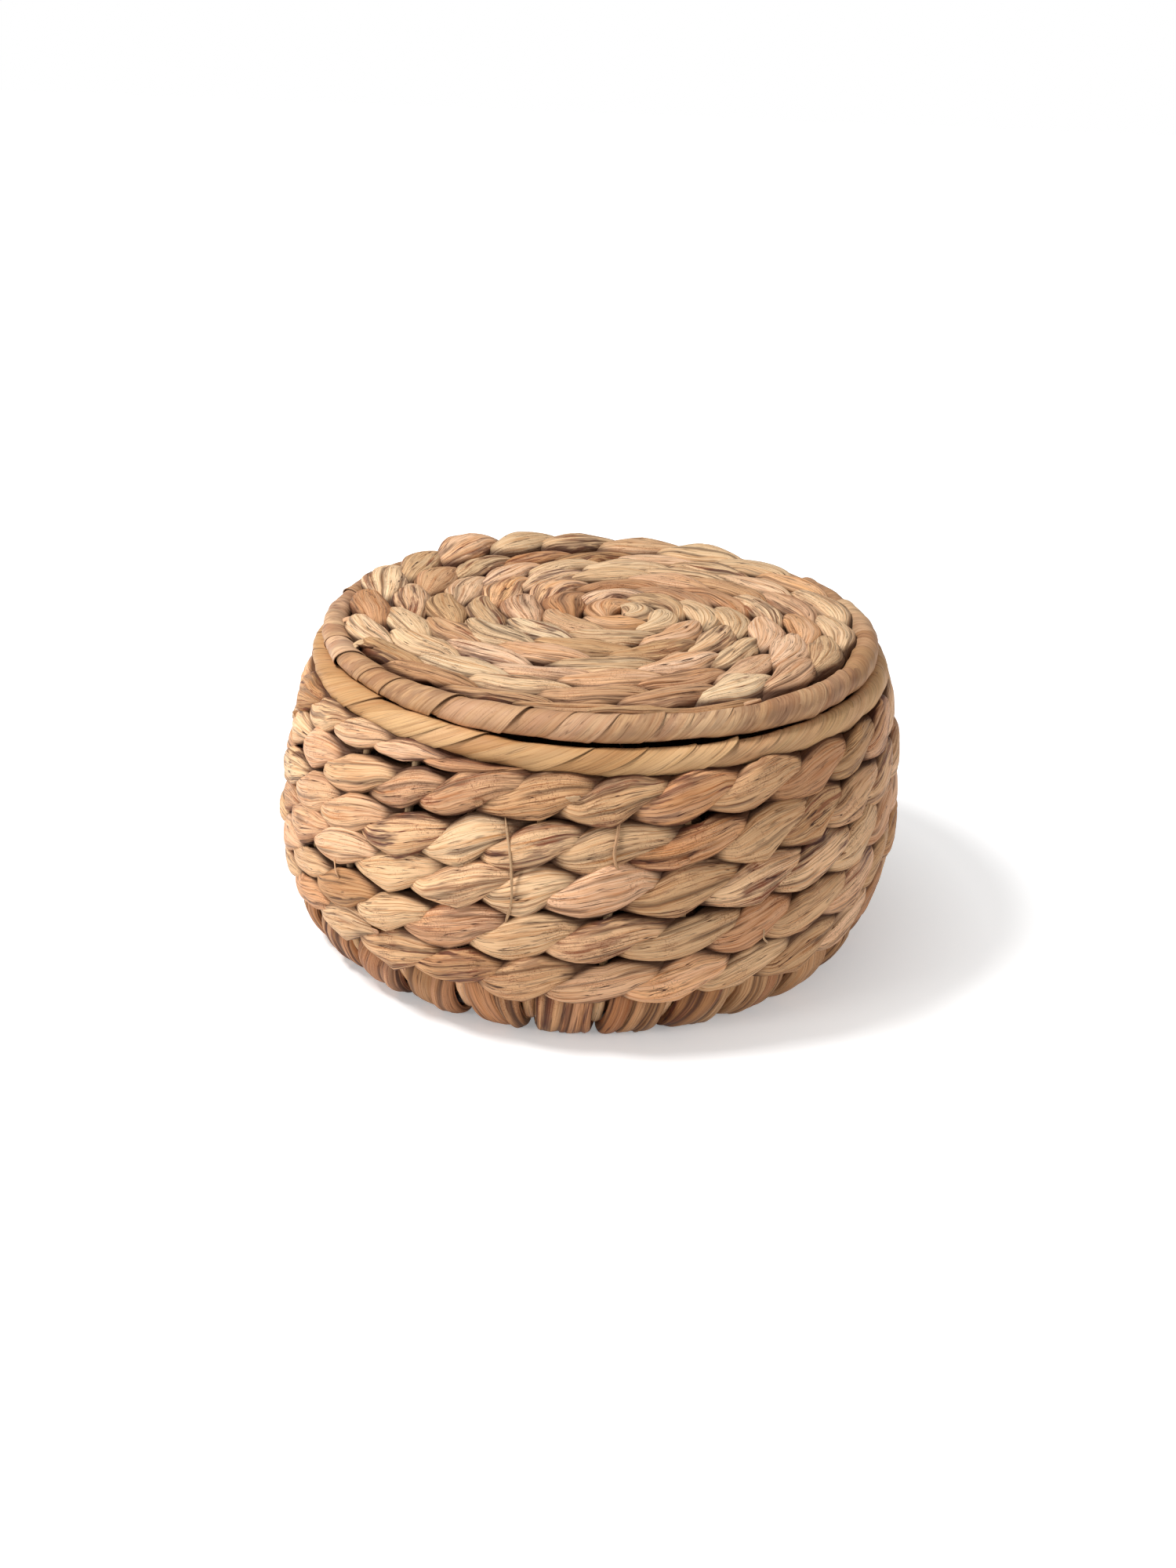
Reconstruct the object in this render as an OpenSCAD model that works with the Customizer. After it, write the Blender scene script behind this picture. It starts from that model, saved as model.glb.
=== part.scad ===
// Round lidded storage basket of twined leaf strands on a wrapped wire frame.
// Origin: centre of the footprint on the floor. +Z is up, the lid lifts along +Z.

/* [Frame] */
// Radius of the rim ring, to the middle of its wire
rim_ring_r = 114.5; // [108:0.5:120]
// Height of the middle of the rim ring above the floor
rim_ring_z = 116.5; // [100:0.5:135]
// How far the base ring lies inside the rim ring
base_inset = 7; // [4:0.5:12]
// How far the ribs bulge out past the rim ring at the belly
belly_bulge = 8; // [6:0.5:12]
// Height of the widest place of the wall
belly_z = 50; // [42:1:64]
// Thickness of the steel wire of the three rings
ring_wire_d = 4; // [3:0.1:4.6]
// Number of upright ribs (even, so that the two weavers close their turns)
rib_count = 28; // [24:2:32]
// Thickness of the steel wire of a rib
rib_wire_d = 2; // [1.6:0.1:2.4]
// Thickness of the leaf strip wrapped on a rib
rib_wrap_t = 0.6; // [0.4:0.1:0.8]

/* [Wall] */
// Full thickness of the twined wall
wall_t = 14.4; // [13:0.1:16]
// Complete rows of twining
wall_rows = 5; // [4:1:6]
// Rib gaps that the last, partial row runs past the complete ones
extra_gaps = 10; // [6:1:16]
// Rib at which the twining starts, counted from the +X side
first_rib = 10; // [0:1:27]
// Turn of the first rib from +X, in degrees
rib_offset = 4; // [0:0.5:12]
// Part of a turn over which a weaver tapers out at its ends
weaver_taper = 0.2; // [0.1:0.02:0.3]

/* [Rolled edges] */
// Outer thickness of the wrapped rim
rim_roll_d = 11; // [9.5:0.1:12]
// Outer thickness of the wrapped edge of the lid
lid_roll_d = 11; // [9.5:0.1:12]
// Thickness of the leaf strip wound on the rim and the lid edge
wrap_t = 0.9; // [0.6:0.1:1.2]
// Thickness of the rolled bundles at the foot
foot_roll_d = 14.4; // [12:0.2:16]
// Gap left for a rib between two foot bundles
foot_gap = 4.4; // [4:0.1:6]

/* [Lid] */
// How far the lid ring lies inside the rim ring
lid_inset = 6.5; // [5.5:0.1:8]
// Height of the middle of the lid's rope above the middle of its ring
lid_rise = 1.1; // [0:0.1:2]
// Rows of coiled rope from the middle of the lid to its ring
lid_rows = 7; // [5:1:8]
// Length of one full twist of the lid's rope
lid_lay = 56; // [48:2:70]
// Thickness of the lid's rope
lid_rope_t = 12.7; // [11:0.1:13]
// How far the middle of the lid's coil lies toward +X from the lid's middle
lid_coil_x = 8; // [0:1:12]
// How far the middle of the lid's coil lies toward +Y from the lid's middle
lid_coil_y = 6; // [0:1:12]

/* [Base] */
// Rows of coiled rope from the middle of the base to its ring
base_rows = 5; // [4:1:6]
// Length of one full twist of the base's rope
base_lay = 84; // [70:2:100]
// Thickness of the base's rope
base_rope_t = 12.7; // [11:0.1:14]

/* [Clearance] */
// Gap between neighbouring woven pieces
weave_gap = 0.3; // [0.25:0.05:0.5]
// Room between the two strands of a rope where both stand upright
rope_gap = 1.6; // [1.4:0.1:2.4]
// Gap between the lid's edge and the rim it rests on
seat_gap = 0.3; // [0.2:0.05:0.5]
// Gap between a wire and what is wound on it
wire_gap = 0.05; // [0.03:0.01:0.1]

/* [Hidden] */
$fn = 32;
arc_fn = 180;

wall_leaf = [0.80, 0.63, 0.46];
wall_leaf_dark = [0.74, 0.56, 0.40];
lid_leaf = [0.83, 0.68, 0.51];
rim_leaf = [0.84, 0.68, 0.47];
edge_leaf = [0.78, 0.63, 0.50];
foot_leaf = [0.72, 0.52, 0.36];
rib_leaf = [0.88, 0.78, 0.62];
steel = [0.55, 0.56, 0.58];

base_ring_r = rim_ring_r - base_inset;
belly_r = rim_ring_r + belly_bulge;
lid_ring_r = rim_ring_r - lid_inset;

// The base ring lies in the middle of the foot bundles, which stand on the floor.
base_ring_z = foot_roll_d / 2;
ring_wire_r = ring_wire_d / 2;
rib_r = rib_wire_d / 2 + rib_wrap_t;

// A rib is two arcs that meet upright at the belly and end in the two rings.
function arc_radius(dr, dz) = (dr * dr + dz * dz) / (2 * dr);
low_arc_r = arc_radius(belly_r - base_ring_r, belly_z - base_ring_z);
high_arc_r = arc_radius(belly_r - rim_ring_r, rim_ring_z - belly_z);
low_arc_deg = asin((belly_z - base_ring_z) / low_arc_r);
high_arc_deg = asin((rim_ring_z - belly_z) / high_arc_r);
low_arc_len = low_arc_r * low_arc_deg * PI / 180;
high_arc_len = high_arc_r * high_arc_deg * PI / 180;
rib_len = low_arc_len + high_arc_len;

// Radius and height at length s up a rib and depth n outward from it.
function rib_arc(s) = s < low_arc_len ? low_arc_r : high_arc_r;
function rib_turn(s) = (s - low_arc_len) / rib_arc(s) * 180 / PI;
function rib_rz(s, n) = [
    belly_r - rib_arc(s) + (rib_arc(s) + n) * cos(rib_turn(s)),
    belly_z + (rib_arc(s) + n) * sin(rib_turn(s))
];
function rib_azimuth(i) = rib_offset + 360 * i / rib_count;
function polar(rz, azimuth) = [rz[0] * cos(azimuth), rz[0] * sin(azimuth), rz[1]];
function mix(a, b, t) = a + (b - a) * t;
function clamp01(t) = max(0, min(1, t));
function smooth(t) = clamp01(t) * clamp01(t) * (3 - 2 * clamp01(t));
function sum(list, i = 0) = i < len(list) ? list[i] + sum(list, i + 1) : 0;

// ---- Solids swept through rings of points ----

// One closed solid through rings that all have the same number of points.
module skin(rings) {
    n = len(rings[0]);
    last = len(rings) - 1;
    sides = [
        for (i = [0 : last - 1], j = [0 : n - 1])
            let (a = i * n + j, b = i * n + (j + 1) % n, c = b + n, d = a + n)
                each [[a, b, c], [a, c, d]]
    ];
    caps = [[for (j = [n - 1 : -1 : 0]) j], [for (j = [0 : n - 1]) last * n + j]];
    polyhedron(points = [for (ring = rings) each ring], faces = concat(sides, caps));
}

// ---- Pairs of strands that twist about each other ----

// A section lies in [front, side] axes. At phase 0 a strand is at the front, at 90 it lies
// to the side, at 180 at the back. Its partner is half a twist away.
shoulder = 0.5;
crossing = 60;

// Five-sided strand section with its flat side to the front.
function strand_section(mid, half) = [
    mid + [0, half[1]],
    mid + [-half[0], 0],
    mid + [0, -half[1]],
    mid + [half[0], -half[1] * shoulder],
    mid + [half[0], half[1] * shoulder]
];

// Half sizes and middle of a strand, where the pair is pair_t thick and pair_w wide and
// passes on both sides of a core.
function strand_half(phase, pair_t, pair_w, core) = [
    mix(pair_t * 0.375, (pair_t - core) / 4, abs(cos(phase))),
    mix(pair_w / 2, (pair_w - weave_gap) / 4, min(1, abs(sin(phase)) / sin(crossing)))
];
function strand_mid(phase, pair_t, pair_w, half) = [
    sign(round(cos(phase) * 100)) * (pair_t / 2 - half[0]),
    sign(round(sin(phase) * 100)) * (pair_w / 2 - half[1])
];
function twisted_section(phase, pair_t, pair_w, core) =
    let (half = strand_half(phase, pair_t, pair_w, core))
    strand_section(strand_mid(phase, pair_t, pair_w, half), half);

// ---- Twined wall: two weavers that swap inside and outside between the ribs ----

weave_low = foot_roll_d / 2 + weave_gap;
weave_high = rib_len - rim_roll_d / 2 - weave_gap;
steps_per_gap = 3;
wall_gaps = wall_rows * rib_count + extra_gaps;
wall_turns = wall_gaps / rib_count;
thinnest_row = 0.14;

// Share of a full row that the weavers take at turn v, with a hair for rounding at the ends.
hair = 0.001;
function row_share(v) =
    v < -hair || v > wall_turns + hair ? 0 :
    mix(thinnest_row, 1, min(smooth(v / weaver_taper), smooth((wall_turns - v) / weaver_taper)));
function shares(v, first, last) = sum([for (k = [first : last]) row_share(v + k)]);
function row_unit(v) = (weave_high - weave_low) / shares(v, -wall_rows - 1, wall_rows + 1);
function row_h(v) = row_unit(v) * row_share(v);
function row_mid(v) =
    weave_low + row_unit(v) * (shares(v, -wall_rows - 1, -1) + row_share(v) / 2);

rib_play = 0.4;
rib_core = 2 * (rib_r + weave_gap + rib_play);
function weaver_ring(step, start_phase) =
    let (
        gaps = step / steps_per_gap,
        v = gaps / rib_count,
        phase = start_phase + 180 * gaps,
        section = twisted_section(phase, wall_t, row_h(v) - weave_gap, rib_core),
        azimuth = rib_azimuth(first_rib + gaps)
    )
    [for (p = section) polar(rib_rz(row_mid(v) + p[1], p[0]), azimuth)];

// One spliced length of a weaver: a turn, or what is left of the last one.
module weaver_turn(turn, start_phase) {
    first = (turn - 1) * rib_count * steps_per_gap;
    last = min(turn * rib_count, wall_gaps) * steps_per_gap;
    if (last > first)
        skin([for (step = [first : last]) weaver_ring(step, start_phase)]);
}

// ---- Two-strand rope, coiled from the middle outward ----

// Part of a turn over which the coil steps out to its next row.
jog = 0.6;
// Turns at which the rope starts beside the middle and ends past its last full row.
coil_start = 0.8;
coil_end = 0.85;
coil_step = 2;
tight_turn_r = 25;

// Outer edge, middle and width of the row at turn v. A coil is [rows, row width, outer
// limit, place of its middle, length of a twist, rope thickness].
function coil(rows, limit, middle, lay, rope_t) = [rows, limit / rows, limit, middle, lay, rope_t];
function coil_edge(v, c) =
    v <= 0 ? 0 : min(c[2], c[1] * (floor(v) + smooth((v - floor(v) - 1 + jog) / jog)));
function coil_mid(v, c) = (coil_edge(v, c) + coil_edge(v - 1, c)) / 2;
function coil_width(v, c) = coil_edge(v, c) - coil_edge(v - 1, c);

// Length along the coil against turns, in short steps.
function coil_table(c) = [
    for (
        s = [0, coil_start];
        s[1] < c[0] + coil_end;
        s = [s[0] + coil_step, s[1] + coil_step / (2 * PI * coil_mid(s[1], c))]
    ) s
];

// A coil whose middle lies off the centre keeps its round outer edge.
function off_centre(point, r, c) =
    let (share = 1 - r / c[2])
    point + [c[3][0] * share, c[3][1] * share, 0];

// Places along the coil for a strand's sections, closer together where it turns tightly.
function strand_places(table, c) =
    let (
        length = table[len(table) - 1][0],
        sixths = floor(length / c[4] * 6)
    )
    [
        for (half_sixth = [0 : 2 * sixths])
            let (x = half_sixth * c[4] / 12)
                if (half_sixth % 2 == 0 || coil_mid(lookup(x, table), c) < tight_turn_r) x
    ];
function rope_ring(x, start_phase, table, c) =
    let (
        v = lookup(x, table),
        width = coil_width(v, c) - weave_gap,
        thin = min(1, width / c[1] + 0.3),
        section = twisted_section(start_phase + 360 * x / c[4], c[5] * thin, width, rope_gap)
    )
    [
        for (p = section)
            let (r = coil_mid(v, c) - p[1])
                off_centre(polar([r, p[0]], 360 * v), r, c)
    ];

module rope_strand(start_phase, c) {
    table = coil_table(c);
    skin([for (x = strand_places(table, c)) rope_ring(x, start_phase, table, c)]);
}

// ---- Rings and ribs ----

module ring_tube(ring_r, outer_d, inner_d = 0) {
    rotate_extrude($fn = arc_fn)
        translate([ring_r, 0])
            difference() {
                circle(d = outer_d);
                if (inner_d > 0)
                    circle(d = inner_d);
            }
}

// One rib's two arcs, from end_low to end_high along its length. They meet at the belly.
module rib_arcs(d, end_low, end_high) {
    turn_low = (low_arc_len - end_low) / low_arc_r * 180 / PI;
    turn_high = (end_high - low_arc_len) / high_arc_r * 180 / PI;
    translate([belly_r - low_arc_r, 0, belly_z])
        rotate([90, 0, 0])
            rotate([0, 0, -turn_low])
                rotate_extrude(angle = turn_low, $fn = arc_fn)
                    translate([low_arc_r, 0])
                        circle(d = d);
    translate([belly_r - high_arc_r, 0, belly_z])
        rotate([90, 0, 0])
            rotate_extrude(angle = turn_high, $fn = arc_fn)
                translate([high_arc_r, 0])
                    circle(d = d);
}

// One rib: its arcs and a bead, a shade thicker than the wire, that joins them.
bead = 1.03;
module rib(d, end_low, end_high) {
    rib_arcs(d, end_low, end_high);
    translate([belly_r, 0, belly_z])
        sphere(d = d * bead);
}

base_rib_end = ring_wire_r + wire_gap;
rim_rib_end = rib_len - ring_wire_r - wire_gap;
rib_wrap_low = foot_roll_d / 2 - 1;
rib_wrap_high = rib_len - rim_roll_d / 2 - wire_gap;

// Rib passages through what is wound on the rim ring.
module rib_passages() {
    for (i = [0 : rib_count - 1])
        rotate([0, 0, rib_azimuth(i)])
            translate([rim_ring_r, 0, rim_ring_z])
                rotate([0, 180 - high_arc_deg, 0])
                    cylinder(d = rib_wire_d + 4 * wire_gap, h = rim_roll_d);
}

// ---- Pieces ----

module base_ring_wire() {
    color(steel)
        translate([0, 0, base_ring_z])
            ring_tube(base_ring_r, ring_wire_d);
}

module rim_ring_wire() {
    color(steel)
        translate([0, 0, rim_ring_z])
            ring_tube(rim_ring_r, ring_wire_d);
}

module rib_wires() {
    color(steel)
        for (i = [0 : rib_count - 1])
            rotate([0, 0, rib_azimuth(i)])
                rib(rib_wire_d, base_rib_end, rim_rib_end);
}

module rib_wraps() {
    color(rib_leaf)
        for (i = [0 : rib_count - 1])
            rotate([0, 0, rib_azimuth(i)])
                difference() {
                    rib(2 * rib_r, rib_wrap_low, rib_wrap_high);
                    rib_arcs(rib_wire_d * bead + 2 * wire_gap, 0, rib_len);
                }
}

// Bundles rolled round the base ring, one between each two ribs.
module foot_bundles() {
    gap_deg = foot_gap / base_ring_r * 180 / PI;
    span_deg = 360 / rib_count - gap_deg;
    color(foot_leaf)
        for (i = [0 : rib_count - 1])
            rotate([0, 0, rib_azimuth(i) + gap_deg / 2])
                translate([0, 0, base_ring_z])
                    rotate_extrude(angle = span_deg, $fn = arc_fn)
                        translate([base_ring_r, 0])
                            difference() {
                                circle(d = foot_roll_d);
                                circle(d = ring_wire_d + 2 * wire_gap);
                            }
}

base_limit = base_ring_r - foot_roll_d / 2 - weave_gap;
module base_rope_strand(start_phase) {
    color(wall_leaf_dark)
        translate([0, 0, base_ring_z])
            rope_strand(start_phase, coil(base_rows, base_limit, [0, 0], base_lay, base_rope_t));
}
module base_rope_strand_a() { base_rope_strand(0); }
module base_rope_strand_b() { base_rope_strand(180); }

module weaver_a(turn) {
    color(wall_leaf)
        weaver_turn(turn, 0);
}
module weaver_b(turn) {
    color(wall_leaf_dark)
        weaver_turn(turn, 180);
}

module rim_padding() {
    color(rim_leaf)
        difference() {
            translate([0, 0, rim_ring_z])
                ring_tube(rim_ring_r, rim_roll_d - 2 * wrap_t, ring_wire_d + 2 * wire_gap);
            rib_passages();
        }
}

module rim_wrap() {
    color(rim_leaf)
        difference() {
            translate([0, 0, rim_ring_z])
                ring_tube(rim_ring_r, rim_roll_d, rim_roll_d - 2 * wrap_t + 2 * wire_gap);
            rib_passages();
        }
}

// The lid's edge nests inside and above the rim, seat_gap from it.
seat_reach = (rim_roll_d + lid_roll_d) / 2 + seat_gap;
lid_ring_z = rim_ring_z + sqrt(seat_reach * seat_reach - pow(rim_ring_r - lid_ring_r, 2));
lid_limit = lid_ring_r - lid_roll_d / 2 - weave_gap;

module lid_ring_wire() {
    color(steel)
        translate([0, 0, lid_ring_z])
            ring_tube(lid_ring_r, ring_wire_d);
}

module lid_padding() {
    color(edge_leaf)
        translate([0, 0, lid_ring_z])
            ring_tube(lid_ring_r, lid_roll_d - 2 * wrap_t, ring_wire_d + 2 * wire_gap);
}

module lid_wrap() {
    color(edge_leaf)
        translate([0, 0, lid_ring_z])
            ring_tube(lid_ring_r, lid_roll_d, lid_roll_d - 2 * wrap_t + 2 * wire_gap);
}

lid_middle = [lid_coil_x, lid_coil_y];
module lid_rope_strand(start_phase) {
    color(lid_leaf)
        translate([0, 0, lid_ring_z + lid_rise])
            rope_strand(start_phase, coil(lid_rows, lid_limit, lid_middle, lid_lay, lid_rope_t));
}
module lid_rope_strand_a() { lid_rope_strand(0); }
module lid_rope_strand_b() { lid_rope_strand(180); }

base_ring_wire();
rim_ring_wire();
rib_wires();
rib_wraps();
foot_bundles();
base_rope_strand_a();
base_rope_strand_b();
weaver_a(1);  // weaver_a_turn_1
weaver_a(2);  // weaver_a_turn_2
weaver_a(3);  // weaver_a_turn_3
weaver_a(4);  // weaver_a_turn_4
weaver_a(5);  // weaver_a_turn_5
weaver_a(6);  // weaver_a_turn_6
weaver_b(1);  // weaver_b_turn_1
weaver_b(2);  // weaver_b_turn_2
weaver_b(3);  // weaver_b_turn_3
weaver_b(4);  // weaver_b_turn_4
weaver_b(5);  // weaver_b_turn_5
weaver_b(6);  // weaver_b_turn_6
rim_padding();
rim_wrap();
lid_ring_wire();
lid_padding();
lid_wrap();
lid_rope_strand_a();
lid_rope_strand_b();
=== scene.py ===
"""Round lidded basket of twined leaf strands on a wrapped wire frame: its looks in Blender.

The CAD's curves are followed at finer steps, and each strand, strip and bundle gets the relief,
the creases and the colours of dried leaf.
"""

import math
import zlib

import bpy
import numpy as np
from mathutils import Euler, Matrix, Vector

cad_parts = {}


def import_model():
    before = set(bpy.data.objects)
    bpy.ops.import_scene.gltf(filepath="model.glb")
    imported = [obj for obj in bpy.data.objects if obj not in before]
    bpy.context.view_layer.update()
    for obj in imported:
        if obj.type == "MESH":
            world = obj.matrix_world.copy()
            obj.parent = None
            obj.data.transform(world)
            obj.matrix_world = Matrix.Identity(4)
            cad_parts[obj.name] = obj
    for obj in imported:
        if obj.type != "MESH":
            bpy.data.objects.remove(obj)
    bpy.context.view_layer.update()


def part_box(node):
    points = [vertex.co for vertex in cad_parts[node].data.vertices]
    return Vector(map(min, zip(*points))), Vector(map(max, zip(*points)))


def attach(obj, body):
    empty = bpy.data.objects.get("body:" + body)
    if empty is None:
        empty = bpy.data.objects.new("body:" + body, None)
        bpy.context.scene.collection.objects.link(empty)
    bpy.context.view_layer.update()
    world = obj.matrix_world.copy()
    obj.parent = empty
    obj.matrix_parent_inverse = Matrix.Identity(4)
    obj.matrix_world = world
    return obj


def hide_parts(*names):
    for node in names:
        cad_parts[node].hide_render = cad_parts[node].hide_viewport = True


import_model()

# ---- Driving sizes, in millimetres. What the frame gives is read from it. ----

MM = 0.001


class Ring:
    """Radius, height and thickness of a round ring node."""

    def __init__(self, node):
        low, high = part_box(node)
        self.t = (high.z - low.z) / MM
        self.r = (high.x - low.x) / MM / 2 - self.t / 2
        self.z = (high.z + low.z) / MM / 2


base_wire = Ring("base_ring_wire")
rim_wire = Ring("rim_ring_wire")
lid_wire = Ring("lid_ring_wire")
foot_roll_t = Ring("foot_bundles").t
rim_roll_t = Ring("rim_wrap").t
lid_roll_t = Ring("lid_wrap").t

# Ribs: upright wires, each wound with a leaf strip. The offset is the first one's azimuth.
rib_count = 28
rib_offset = 4
rib_wire_r = 1.0
rib_wrap_t = 0.6
rib_thickness = 2 * (rib_wire_r + rib_wrap_t)
belly_bulge = 8
belly_r = rim_wire.r + belly_bulge
belly_z = 50

# Twining: a spiral of wall_rows turns and a few gaps between ribs more. The taper and the tip
# are the parts of a turn over which it thins out at both ends.
wall_t = 14.4
wall_rows = 5
extra_gaps = 10
first_rib = 10
weaver_taper = 0.2
weaver_tip = 0.06
thinnest_row = 0.3
weave_gap = 0.3
rib_play = 0.4
rib_core = rib_thickness + 2 * (weave_gap + rib_play)

# Foot: its bundles reach up the ribs, where the lowest row hides their ends.
foot_gap = 3.4
foot_shown = 17.5
foot_hidden = 5

# Coiled ropes of the lid and the bottom. A lay is the length of one full twist.
lid_rows = 7
lid_lay = 56
lid_rope_t = 12.7
lid_rise = 1.1
lid_middle = (8, 6)
base_rows = 5
base_lay = 84
base_rope_t = 12.7
base_rise = 0.8
base_middle = (0, 0)
rope_core = 0.6
rope_lap = 1.6

# Strips: the length of ring that one turn takes, and how far a turn slants over the ring.
rim_lay = 19
rim_slant = 7.0
lid_edge_lay = 15
lid_edge_slant = 2.0

# ---- Small helpers ----

wander_cells = 1024
field_cells = 512


def mix(a, b, t):
    return a + (b - a) * t


def smooth(t):
    t = np.clip(t, 0, 1)
    return t * t * (3 - 2 * t)


def seed_of(*words):
    return zlib.crc32(" ".join(str(w) for w in words).encode())


def random_of(*words):
    return np.random.default_rng(seed_of(*words))


def wander(x, step, *words, hold=0.0):
    """Smooth random values from -1 to 1 along x, one each step, each held over part of it."""
    table = random_of(*words).uniform(-1, 1, wander_cells)
    at = np.asarray(x, float) / step
    cell = np.floor(at).astype(int)
    blend = smooth((at - cell - hold / 2) / (1 - hold))
    return mix(table[cell % wander_cells], table[(cell + 1) % wander_cells], blend)


def wander_round(x, step, turn, cells, *words):
    """Smooth random field from -1 to 1 along x and round a section, where turn is 0 to 1."""
    table = random_of(*words).uniform(-1, 1, (field_cells, cells))
    at, round_at = np.asarray(x, float) / step, turn * cells
    i, j = np.floor(at).astype(int), np.floor(round_at).astype(int)
    u, v = smooth(at - i)[:, None], smooth(round_at - j)[None, :]
    i0, i1, j0, j1 = i % field_cells, (i + 1) % field_cells, j % cells, (j + 1) % cells
    low = mix(table[np.ix_(i0, j0)], table[np.ix_(i0, j1)], v)
    high = mix(table[np.ix_(i1, j0)], table[np.ix_(i1, j1)], v)
    return mix(low, high, u)


def polar(r, azimuth, z):
    """Points in space from radius, azimuth in radians and height."""
    return np.stack(np.broadcast_arrays(r * np.cos(azimuth), r * np.sin(azimuth), z), -1)


def unit(vectors):
    return vectors / (np.linalg.norm(vectors, axis=-1, keepdims=True) + 1e-9)


# ---- The ribs' curve, as in the CAD: two arcs that meet upright at the belly ----


def arc_radius(dr, dz):
    return (dr * dr + dz * dz) / (2 * dr)


low_arc_r = arc_radius(belly_r - base_wire.r, belly_z - base_wire.z)
high_arc_r = arc_radius(belly_r - rim_wire.r, rim_wire.z - belly_z)
low_arc_len = low_arc_r * math.asin((belly_z - base_wire.z) / low_arc_r)
high_arc_len = high_arc_r * math.asin((rim_wire.z - belly_z) / high_arc_r)
rib_len = low_arc_len + high_arc_len


def rib_rz(s, n):
    """Radius and height at length s up a rib and depth n outward from it."""
    arc = np.where(s < low_arc_len, low_arc_r, high_arc_r)
    turn = (s - low_arc_len) / arc
    return belly_r - arc + (arc + n) * np.cos(turn), belly_z + (arc + n) * np.sin(turn)


def rib_azimuth(i):
    return np.radians(rib_offset + 360 * np.asarray(i, float) / rib_count)


# ---- The handmade set of the basket: it leans, bulges over its foot and sags at its rim ----

lean = 3.0
lean_pivot_z = 45
rim_sag = 2.0
sag_azimuth = 274
sag_spread = 34
sag_low_z = 96
sag_height = 24
fullness_z = (0, 8, 17, 32, 60, 88, 130)
fullness = (0.3, 1.6, 2.4, 0.9, 0.0, -1.6, -1.9)


def leaning(points, z):
    """Points moved as far to the side as the basket leans at height z."""
    points = np.array(points)
    points[..., 0] += lean * (z - lean_pivot_z) / (rim_wire.z - lean_pivot_z)
    return points


def settled(points):
    """Points of the basket moved from the even CAD form to the handmade one."""
    x, y, z = points[..., 0], points[..., 1], points[..., 2]
    grown = 1 + np.interp(z, fullness_z, fullness) / np.hypot(x, y)
    off_sag = (np.degrees(np.arctan2(y, x)) - sag_azimuth + 180) % 360 - 180
    sag = rim_sag * np.exp(-((off_sag / sag_spread) ** 2)) * smooth((z - sag_low_z) / sag_height)
    return leaning(np.stack([x * grown, y * grown, z - sag], -1), z)


def settled_lid(points):
    """Points of the lid moved along with the rim that it lies on."""
    return leaning(points, rim_wire.z)


# ---- Materials ----


def linear(red, green, blue):
    """A colour as a screen shows it, from 0 to 255, in linear light."""
    parts = [c / 255 for c in (red, green, blue)]
    return tuple(c / 12.92 if c < 0.04045 else ((c + 0.055) / 1.055) ** 2.4 for c in parts) + (1,)


class Shader:
    """The nodes of one material or world, made one at a time."""

    def __init__(self, owner):
        self.owner = owner
        owner.use_nodes = True
        self.tree = owner.node_tree
        self.tree.nodes.clear()

    def node(self, kind, *inputs, out=0, named=None, **settings):
        """A new node's output. Each input is a value or another node's output."""
        made = self.tree.nodes.new("ShaderNode" + kind)
        for key, value in settings.items():
            setattr(made, key, value)
        for place, value in list(enumerate(inputs)) + list((named or {}).items()):
            if isinstance(value, bpy.types.NodeSocket):
                self.tree.links.new(value, made.inputs[place])
            elif value is not None:
                made.inputs[place].default_value = value
        return made.outputs[out] if made.outputs else None

    def math(self, operation, a, b=None):
        return self.node("Math", a, b, operation=operation)

    def product(self, first, *others):
        for other in others:
            first = self.math("MULTIPLY", first, other)
        return first

    def scaled(self, vector, scale):
        return self.node("VectorMath", vector, scale, operation="MULTIPLY")

    def noise(self, vector, scale, detail=2.0, roughness=0.5, distortion=0.0):
        values = {"Vector": vector, "Scale": scale, "Detail": detail}
        values.update({"Roughness": roughness, "Distortion": distortion})
        return self.node("TexNoise", named=values)

    def span(self, value, low, high, to_low=0.0, to_high=1.0):
        """value moved from low..high to to_low..to_high, and kept there."""
        return self.node("MapRange", value, low, high, to_low, to_high)

    def blend(self, share, a, b, how="MIX"):
        """Two colours blended. A Mix node takes colours at inputs 6 and 7 and gives output 2."""
        values = {0: share, 6: a, 7: b}
        return self.node("Mix", named=values, out=2, data_type="RGBA", blend_type=how)

    def multiplied(self, a, b):
        return self.blend(1.0, a, b, "MULTIPLY")

    def ramp(self, value, stops):
        made = self.node("ValToRGB", value).node
        while len(made.color_ramp.elements) < len(stops):
            made.color_ramp.elements.new(0.5)
        for element, (place, colour) in zip(made.color_ramp.elements, stops):
            element.position = place
            element.color = colour
        return made.outputs[0]

    def attribute(self, name, out=1):
        return self.node("Attribute", attribute_name=name, out=out)

    def bump(self, height, strength, distance):
        named = {"Height": height, "Strength": strength, "Distance": distance}
        return self.node("Bump", named=named)

    def finish(self, colour, roughness, bump, **others):
        """The material, as one principled surface."""
        named = {"Base Color": colour, "Roughness": roughness, "Normal": bump}
        named.update({name.replace("_", " "): value for name, value in others.items()})
        self.node("OutputMaterial", self.node("BsdfPrincipled", named=named))
        return self.owner


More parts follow.
